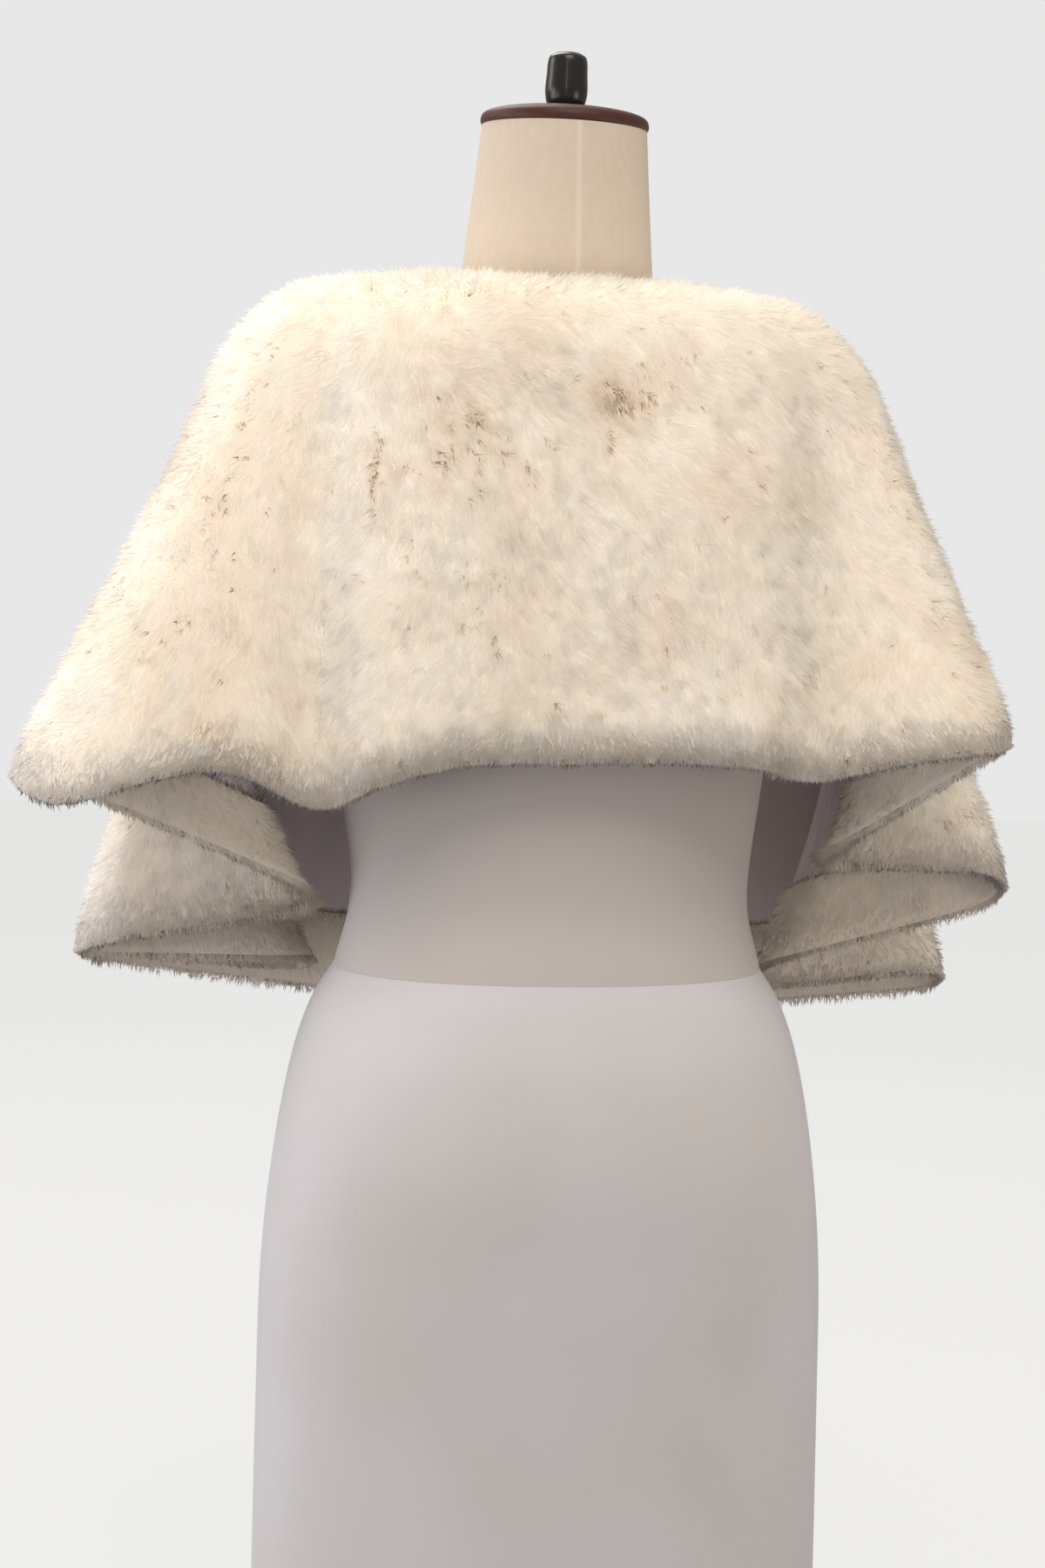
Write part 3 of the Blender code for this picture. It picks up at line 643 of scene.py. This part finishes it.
TINTS = [
    Tint("shaded hollow",       -0.25, 0.385, 0.023, 0.50),
    Tint("shaded hollow's end", -0.80, 0.352, 0.014, 0.24),
    Tint("left crease",         4.10, 0.840, 0.013, 0.30),
    Tint("left crease's foot",  4.10, 0.910, 0.011, 0.32),
    Tint("left crease's head",  4.05, 0.770, 0.012, 0.22),
    Tint("upper left",          1.20, 0.440, 0.026, 0.18),
    Tint("shaded left parting",        2.15, 0.500, 0.016, 0.10),
    Tint("left sleeve",         4.50, 0.560, 0.030, 0.12),
    Tint("right sleeve",       -3.60, 0.800, 0.022, 0.16),
    Tint("low right",          -9.00, 0.700, 0.030, 0.14),
    Tint("low left",            9.20, 0.650, 0.030, 0.14),
    Tint("front",              13.50, 0.450, 0.030, 0.14),
    Tint("other front",       -14.00, 0.600, 0.030, 0.14),
]


def cleft_lines():
    """Middle, direction and half length of every small cleft in the pile."""
    chance = np.random.default_rng(31)
    middles, runs, halves = [], [], []
    for cleft in CLEFTS:
        place = cleft.place + cleft.place_spread * chance.standard_normal(cleft.count)
        share = np.clip(cleft.share + cleft.share_spread * chance.standard_normal(cleft.count),
                        0.05, 0.96)
        along, down, out = directions(creased_cloth, place, share)
        turn = (cleft.slant + 0.35 * chance.standard_normal(cleft.count))[:, None]
        middles.append(creased_cloth(place, share))
        runs.append(down * np.cos(turn) + along * np.sin(turn))
        halves.append(chance.uniform(0.0008, 0.0030, cleft.count))
    return np.concatenate(middles), np.concatenate(runs), np.concatenate(halves)


CLEFT_LINES = cleft_lines()


def parted(points, out):
    """How far each point is inside the nearest cleft, 0 to 1, and the way away from it."""
    middles, runs, halves = CLEFT_LINES
    inside = np.zeros(len(points))
    away = np.zeros((len(points), 3))
    for middle, run, half in zip(middles, runs, halves):
        near = np.nonzero(np.abs(points - middle).max(axis=1) < half + 0.006)[0]
        offset = points[near] - middle
        beside = offset - np.clip(offset @ run, -half, half)[:, None] * run
        beside -= out[near] * (beside * out[near]).sum(1, keepdims=True)
        distance = np.linalg.norm(beside, axis=1)
        strength = np.clip(1.2 - distance / CLEFT_REACH, 0, 1)
        deeper = strength > inside[near]
        inside[near[deeper]] = strength[deeper]
        away[near[deeper]] = (beside / np.maximum(distance, 1e-6)[:, None])[deeper]
    return inside, away


def tuft_field(place, share, side, lift, chance):
    """Tufts laid with the nap: roots, directions, outward vectors, depths in a cleft and
    shares of the full length. They turn under and are cut shorter towards the hem."""
    along, down, out = directions(creased_cloth, place, share)
    turned_under = HEM_TURN * np.clip((share - HEM_ROUND) / (HEM_SHARE - HEM_ROUND), 0, 1) ** 2
    out = unit(out * side + down * turned_under[:, None])
    root = creased_cloth(place, share) + out * lift
    trim = 1 - HEM_TRIM * np.minimum(turned_under, 1)
    count = len(place)
    # The nap lies across the upper back, calmest at the neck, and wanders in patches
    upper_back = np.exp(-(place / BACK_NAP_RIBS) ** 2) * np.clip((0.8 - share) / 0.35, 0, 1)
    calm = np.clip(share / 0.30, 0.10, 1)
    wander = NAP_WANDER * patches(root, 0.060, 1) + NAP_RIPPLE * patches(root, 0.018, 2)
    turn = (BACK_NAP_TURN * upper_back + 0.25 * chance.standard_normal(count)
            + calm * wander)[:, None]
    nap = down * np.cos(turn) + along * np.sin(turn)
    # Tufts lie some 50 degrees over, draw together in small clumps and lean out of the clefts
    tilt = (TUFT_TILT + 0.20 * patches(root, 0.022, 3)
            + 0.13 * chance.standard_normal(count))[:, None]
    clump = np.stack([patches(root, 0.0045, seed) for seed in (4, 5, 6)], -1)
    inside, away = parted(root, out)
    direction = unit(out * np.cos(tilt) + nap * np.sin(tilt) * (1 - 0.5 * inside[:, None])
                     + 0.26 * clump + 0.13 * chance.standard_normal((count, 3))
                     + 0.25 * away * inside[:, None])
    return root, direction, out, inside, trim


BUSHY_RIB = 7.5
BUSHY_SPREAD = 0.6


def edge_field(place, share, outward_of_edge, lift_range, chance):
    """Tufts that fan round an edge of the cloth, in the same terms as a tuft field's. They are
    longest where the folds beside the arms end."""
    out = directions(creased_cloth, place, share)[2]
    beyond = outward_of_edge(place, share)
    turn = chance.uniform(0.6, 2.4, len(place))[:, None]
    lift = chance.uniform(*lift_range, len(place))[:, None]
    root = creased_cloth(place, share) + out * lift
    clump = np.stack([patches(root, 0.0055, seed) for seed in (4, 5, 6)], -1)
    direction = unit(out * np.cos(turn) + beyond * np.sin(turn) + 0.18 * clump
                     + 0.10 * chance.standard_normal((len(place), 3)))
    outside = unit(out * 1.1 * np.cos(turn) + 0.9 * beyond * np.sin(turn))
    trim = 0.50 + 0.85 * np.exp(-((np.abs(place) - BUSHY_RIB) / BUSHY_SPREAD) ** 2)
    return root, direction, outside, np.zeros(len(place)), trim


def pile_piece(name, fields, length, radius, chance, finish):
    """One mesh of many three-sided tufts, each mapped by its tone and from root to tip."""
    root, direction, out, inside, trim = (np.concatenate(column) for column in zip(*fields))
    count = len(root)
    reach = length * trim * (1 + 0.16 * patches(root, 0.012, 7) - 0.25 * inside
                             + 0.12 * chance.standard_normal(count))
    tip = root + direction * reach[:, None]
    across = unit(np.cross(direction, out + 0.35 * chance.standard_normal((count, 3))))
    ridge = np.cross(across, direction)
    width = (radius * chance.uniform(0.7, 1.35, count))[:, None]
    points = np.stack([root - across * width, root + ridge * width * ROOT_RATIO,
                       root + across * width, tip], 1).reshape(-1, 3)
    base = np.arange(count)[:, None] * 4
    faces = np.concatenate([base + np.array([0, 1, 3]), base + np.array([1, 2, 3]),
                            base + np.array([2, 0, 3])], 1).reshape(-1, 3)
    mesh = bpy.data.meshes.new(name)
    mesh.vertices.add(len(points))
    mesh.vertices.foreach_set("co", points.ravel())
    mesh.loops.add(faces.size)
    mesh.loops.foreach_set("vertex_index", faces.ravel().astype(np.int32))
    mesh.polygons.add(len(faces))
    mesh.polygons.foreach_set("loop_start", np.arange(0, faces.size, 3, dtype=np.int32))
    mesh.update(calc_edges=True)
    mesh.materials.append(finish)
    mesh.shade_smooth()
    # Every tuft is shaded as part of one soft, slightly ruffled surface, not as a spike
    ruffle = np.stack([patches(root, 0.0065, seed) + 0.6 * patches(root, 0.0026, seed + 3)
                       for seed in (21, 22, 23)], -1)
    facing_way = unit(out + 0.18 * ruffle)
    soft = np.stack([facing_way - SOFT_SPREAD * across, facing_way + 0.1 * ridge,
                     facing_way + SOFT_SPREAD * across, facing_way + 0.25 * direction], 1)
    mesh.normals_split_custom_set_from_vertices(unit(soft).reshape(-1, 3).tolist())
    # In a cleft the tone is painted darker: partly the darker roots, partly painted shade
    tone = (0.70 + 0.15 * patches(root, 0.040, 9) + 0.12 * patches(root, 0.011, 10)
            + 0.10 * patches(root, 0.004, 12)
            + 0.05 * chance.standard_normal(count) - 0.56 * inside)
    # Tints darken the tone; those in the hollow, the left crease and the parting are painted shade
    for tint in TINTS:
        away = np.linalg.norm(root - creased_cloth(tint.place, tint.share), axis=1)
        tone -= tint.depth * np.exp(-(away / tint.radius) ** 2)
    tone = np.clip(tone, 0.03, 0.97)
    # The map holds a tuft's tone across and its way from root to tip up
    tone_map = mesh.uv_layers.new(name="OFBake")
    u = np.repeat(tone, 4).reshape(-1, 4) + np.array([-0.02, 0.0, 0.02, 0.0])
    v = np.zeros((count, 4)) + np.array([0.01, 0.01, 0.01, 0.99])
    uv = np.stack([u, v], -1).reshape(-1, 2)
    tone_map.data.foreach_set("uv", uv[faces.ravel()].ravel())
    piece = bpy.data.objects.new(name, mesh)
    bpy.context.scene.collection.objects.link(piece)
    # Light soaks through real fibres, so the cloth under them casts the cape's shadows
    piece.visible_shadow = False
    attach(piece, "root")
    return piece


ivory_pile, nodes, links, shader = new_finish("ivory_pile", (0.9, 0.82, 0.7), 0.85)
tone = nodes.new("ShaderNodeUVMap")
tone.uv_map = "OFBake"
tone_axes = nodes.new("ShaderNodeSeparateXYZ")
links.new(tone.outputs[0], tone_axes.inputs[0])


def ramp(nodes, links, share, stops):
    """A colour that runs through the stops, each a position and a colour."""
    colours = nodes.new("ShaderNodeValToRGB")
    while len(colours.color_ramp.elements) < len(stops):
        colours.color_ramp.elements.new(1.0)
    for element, (position, colour) in zip(colours.color_ramp.elements, stops):
        element.position = position
        element.color = (*colour, 1)
    links.new(share, colours.inputs["Fac"])
    return colours.outputs["Color"]


tips = ramp(nodes, links, tone_axes.outputs["X"], [
    (0.00, (0.50, 0.34, 0.21)), (0.25, (0.79, 0.65, 0.48)), (0.50, (0.90, 0.80, 0.66)),
    (0.75, (0.96, 0.89, 0.78)), (1.00, (0.98, 0.93, 0.86))])
roots = ramp(nodes, links, tone_axes.outputs["X"], [
    (0.00, (0.30, 0.19, 0.11)), (0.40, (0.86, 0.75, 0.60)), (1.00, (0.95, 0.88, 0.77))])
upward = ranged(nodes, links, tone_axes.outputs["Y"], 0.1, 0.75)
links.new(blended(nodes, links, upward, roots, tips), shader.inputs["Base Color"])
shader.inputs["Specular IOR Level"].default_value = 0.0


def down_of_hem(place, share):
    return directions(creased_cloth, place, share)[1]


def up_of_neck(place, share):
    return -directions(creased_cloth, place, share)[1]


TUFTS = {"back_panel": 57000, "side_panel_left": 54000, "side_panel_right": 52000,
         "front_panel_left": 14000, "front_panel_right": 14000}
HEM_TUFTS = {"back_panel": 6500, "side_panel_left": 9000, "side_panel_right": 8500,
             "front_panel_left": 4000, "front_panel_right": 4000}
EDGE_DEPTH = 0.003
for panel in PANELS:
    chance = np.random.default_rng(panel.seed)
    place, share = scattered(panel.first, panel.last, NECK_SHARE, HEM_SHARE,
                             TUFTS[panel.node], chance)
    fields = [tuft_field(place, share, 1, BACKING_OUTSIDE + ROOT_LIFT, chance)]
    edge = chance.uniform(panel.first, panel.last, HEM_TUFTS[panel.node])
    fields.append(edge_field(edge, np.full(len(edge), HEM_SHARE), down_of_hem,
                             (-EDGE_DEPTH, 0.0), chance))
    edge = chance.uniform(panel.first, panel.last, HEM_TUFTS[panel.node] // 4)
    fields.append(edge_field(edge, np.full(len(edge), NECK_SHARE), up_of_neck,
                             (-EDGE_DEPTH, 0.0), chance))
    pile = pile_piece(panel.node + "_pile", fields, PILE_LENGTH, TUFT_RADIUS, chance, ivory_pile)
    cloth = panel_cloths[panel.node]

# The fur turned up inside the hem: a band of the same cloth, 3 to 6 cm deep, sewn to the
# panels at the hem and to the lining at its upper edge, with its pile facing the wearer.
FACING_TOP = 0.884
FACING_OUTSIDE = -0.0034
FACING_INSIDE = -0.0050
FACING_ROWS = 8
FACING_PILE_LENGTH = 0.0075
Facing = namedtuple("Facing", "node first last columns cut_width cut_length tufts seed")
FACINGS = [
    Facing("hem_facing_back",  -SIDE_SEAM,  SIDE_SEAM,   37, 0.32, 0.04,  5500, 21),
    Facing("hem_facing_left",   SIDE_SEAM,  FRONT_EDGE, 118, 1.18, 0.06, 21000, 22),
    Facing("hem_facing_right", -FRONT_EDGE, -SIDE_SEAM, 118, 1.05, 0.06, 19000, 23),
]
for facing in FACINGS:
    chance = np.random.default_rng(facing.seed)
    band = laid_cloth(facing.node + "_cloth", facing.first, facing.last, FACING_TOP, HEM_SHARE,
                      FACING_OUTSIDE, FACING_INSIDE, facing.columns, FACING_ROWS, fur_backing)
    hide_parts(facing.node)
    place, share = scattered(facing.first, facing.last, FACING_TOP, HEM_SHARE, facing.tufts,
                             chance)
    fields = [tuft_field(place, share, -1, -FACING_INSIDE + ROOT_LIFT, chance)]
    edge = chance.uniform(facing.first, facing.last, facing.tufts // 6)
    fields.append(edge_field(edge, np.full(len(edge), FACING_TOP), up_of_neck,
                             (FACING_INSIDE, FACING_OUTSIDE), chance))
    pile = pile_piece(facing.node + "_pile", fields, FACING_PILE_LENGTH, TUFT_RADIUS, chance,
                      ivory_pile)
    side = facing.node.removeprefix("hem_facing_")

# The lining of the sides and fronts: thin ivory satin, cut like the panels and sewn in above
# the turned-up fur, so that it hangs a little loose and takes soft folds of its own.
ivory_satin, nodes, links, shader = new_finish("ivory_satin_lining", (0.72, 0.66, 0.67), 0.42)
laid = nodes.new("ShaderNodeUVMap")
laid.uv_map = "laid"
soft_folds = cloud_noise(nodes, 28, 2)
stretch = nodes.new("ShaderNodeMapping")
stretch.inputs["Scale"].default_value = (1.6, 0.35, 1)
links.new(laid.outputs[0], stretch.inputs["Vector"])
links.new(stretch.outputs[0], soft_folds.inputs["Vector"])
satin_threads = thread_height(nodes, links, "laid", 1800, 1200)
# The satin is painted darker in the valleys of its soft folds, and kept darker as a whole: painted
# shade inside the cape.
satin_colour_and_fold_shade = blended(nodes, links, soft_folds.outputs["Fac"], (0.54, 0.48, 0.49),
                     (0.68, 0.62, 0.62))
links.new(satin_colour_and_fold_shade, shader.inputs["Base Color"])
bumped(nodes, links, shader, [(soft_folds.outputs["Fac"], 0.6, 0.012),
                              (satin_threads, 0.08, 0.0003)])
shader.inputs["Sheen Weight"].default_value = 0.25
shader.inputs["Anisotropic"].default_value = 0.4

LINING_TOP = 0.385
LINING_FOOT = FACING_TOP + 0.004
LINING_OUTSIDE = -0.0034
LINING_INSIDE = -0.0042
LINING_COLUMNS = 118
LINING_ROWS = 30
for side, first, last, cut_width, cut_length in (
        ("left", SIDE_SEAM, FRONT_EDGE, 0.98, 0.29),
        ("right", -FRONT_EDGE, -SIDE_SEAM, 0.88, 0.30)):
    lining = laid_cloth("lining_" + side + "_satin", first, last, LINING_TOP, LINING_FOOT,
                        LINING_OUTSIDE, LINING_INSIDE, LINING_COLUMNS, LINING_ROWS, ivory_satin)
    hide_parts("lining_" + side)

# The studio: a plain pale floor under an even pale surround, with a large soft lamp above the
# back, a low one at each side, two more on the wearer's left, one in front and a thin strip.
FLOOR_RADIUS = 6
FLOOR_SIDES = 96
floor_mesh = bpy.data.meshes.new("studio_floor")
ring = [(FLOOR_RADIUS * math.cos(angle), FLOOR_RADIUS * math.sin(angle), 0)
        for angle in np.linspace(0, 2 * math.pi, FLOOR_SIDES, endpoint=False)]
floor_mesh.from_pydata(ring, [], [tuple(range(FLOOR_SIDES))])
floor = bpy.data.objects.new("studio_floor", floor_mesh)
bpy.context.scene.collection.objects.link(floor)
floor_paper, nodes, links, shader = new_finish("pale_floor_paper", (0.12, 0.12, 0.12), 0.9)
shader.inputs["Emission Color"].default_value = (0.715, 0.715, 0.715, 1)
shader.inputs["Emission Strength"].default_value = 1.0
shader.inputs["Specular IOR Level"].default_value = 0.0
floor_paper.cycles.emission_sampling = "NONE"
floor.visible_diffuse = False
floor_mesh.materials.append(floor_paper)

world = bpy.data.worlds.new("studio")
world.use_nodes = True
bpy.context.scene.world = world
nodes = world.node_tree.nodes
links = world.node_tree.links
surround = nodes["Background"]
surround.inputs["Color"].default_value = (0.806, 0.806, 0.806, 1)
surround.inputs["Strength"].default_value = 1.0
rays = nodes.new("ShaderNodeLightPath")
ambient = nodes.new("ShaderNodeBackground")
skyward = nodes.new("ShaderNodeTexCoord")
height_of_sky = nodes.new("ShaderNodeSeparateXYZ")
links.new(skyward.outputs["Generated"], height_of_sky.inputs[0])
from_below = ranged(nodes, links, height_of_sky.outputs["Z"], -1, 1)
ambient_colour = ramp(nodes, links, from_below, [
    (0.0, (0.24, 0.22, 0.22)), (0.5, (0.34, 0.32, 0.33)), (1.0, (0.66, 0.64, 0.60))])
links.new(ambient_colour, ambient.inputs["Color"])
choice = nodes.new("ShaderNodeMixShader")
links.new(rays.outputs["Is Camera Ray"], choice.inputs["Fac"])
links.new(ambient.outputs[0], choice.inputs[1])
links.new(surround.outputs[0], choice.inputs[2])
links.new(choice.outputs[0], nodes["World Output"].inputs[0])

Lamp = namedtuple("Lamp", "name place target width height power colour")
LAMPS = [
    Lamp("key", (-0.1, 1.4, 2.6), (0, 0, 0.75), 1.3, 1.3, 31, (1.0, 0.95, 0.88)),
    Lamp("low_right", (-1.9, 1.5, 0.3), (-0.1, 0, 0.5), 1.0, 1.0, 13, (1.0, 0.95, 0.90)),
    Lamp("low_left", (2.1, 1.2, 0.3), (0.1, 0, 0.5), 1.0, 1.0, 9, (0.94, 0.94, 1.0)),
    Lamp("window", (2.4, 0.2, 0.70), (0, 0, 0.25), 1.2, 1.2, 20, (0.88, 0.91, 1.0)),
    Lamp("front", (0.5, -1.2, 2.5), (0, 0, 0.75), 1.4, 1.4, 30, (1.0, 0.97, 0.92)),
    Lamp("left_side", (2.2, -0.8, 1.7), (0, 0, 0.75), 1.0, 1.0, 12, (1.0, 0.97, 0.92)),
    Lamp("strip", (0.42, 2.6, 1.5), (0, 0, 0.95), 0.05, 1.1, 3, (1.0, 0.98, 0.95)),
]
for lamp in LAMPS:
    light = bpy.data.lights.new(lamp.name + "_lamp", "AREA")
    light.shape = "RECTANGLE"
    light.size = lamp.width
    light.size_y = lamp.height
    light.energy = lamp.power
    light.color = lamp.colour
    hung_lamp = bpy.data.objects.new(lamp.name + "_lamp", light)
    bpy.context.scene.collection.objects.link(hung_lamp)
    aim = np.array(lamp.place) - np.array(lamp.target)
    hung_lamp.location = lamp.place
    hung_lamp.rotation_euler = (math.atan2(math.hypot(aim[0], aim[1]), aim[2]), 0,
                                math.atan2(aim[0], -aim[1]))

# The camera stands 2 m behind the form at shoulder-blade height, a little to its left, and
# looks slightly down.
lens = bpy.data.cameras.new("studio_camera")
lens.sensor_fit = "VERTICAL"
lens.sensor_height = 36
lens.lens = 75.2
lens.clip_start = 0.05
camera = bpy.data.objects.new("studio_camera", lens)
camera.location = (0.29562, 1.97803, 0.753)
camera.rotation_euler = [math.radians(turn) for turn in (84.9987, -1.2951, 172.1179)]
bpy.context.scene.collection.objects.link(camera)
bpy.context.scene.camera = camera
bpy.context.scene.view_settings.view_transform = "Standard"
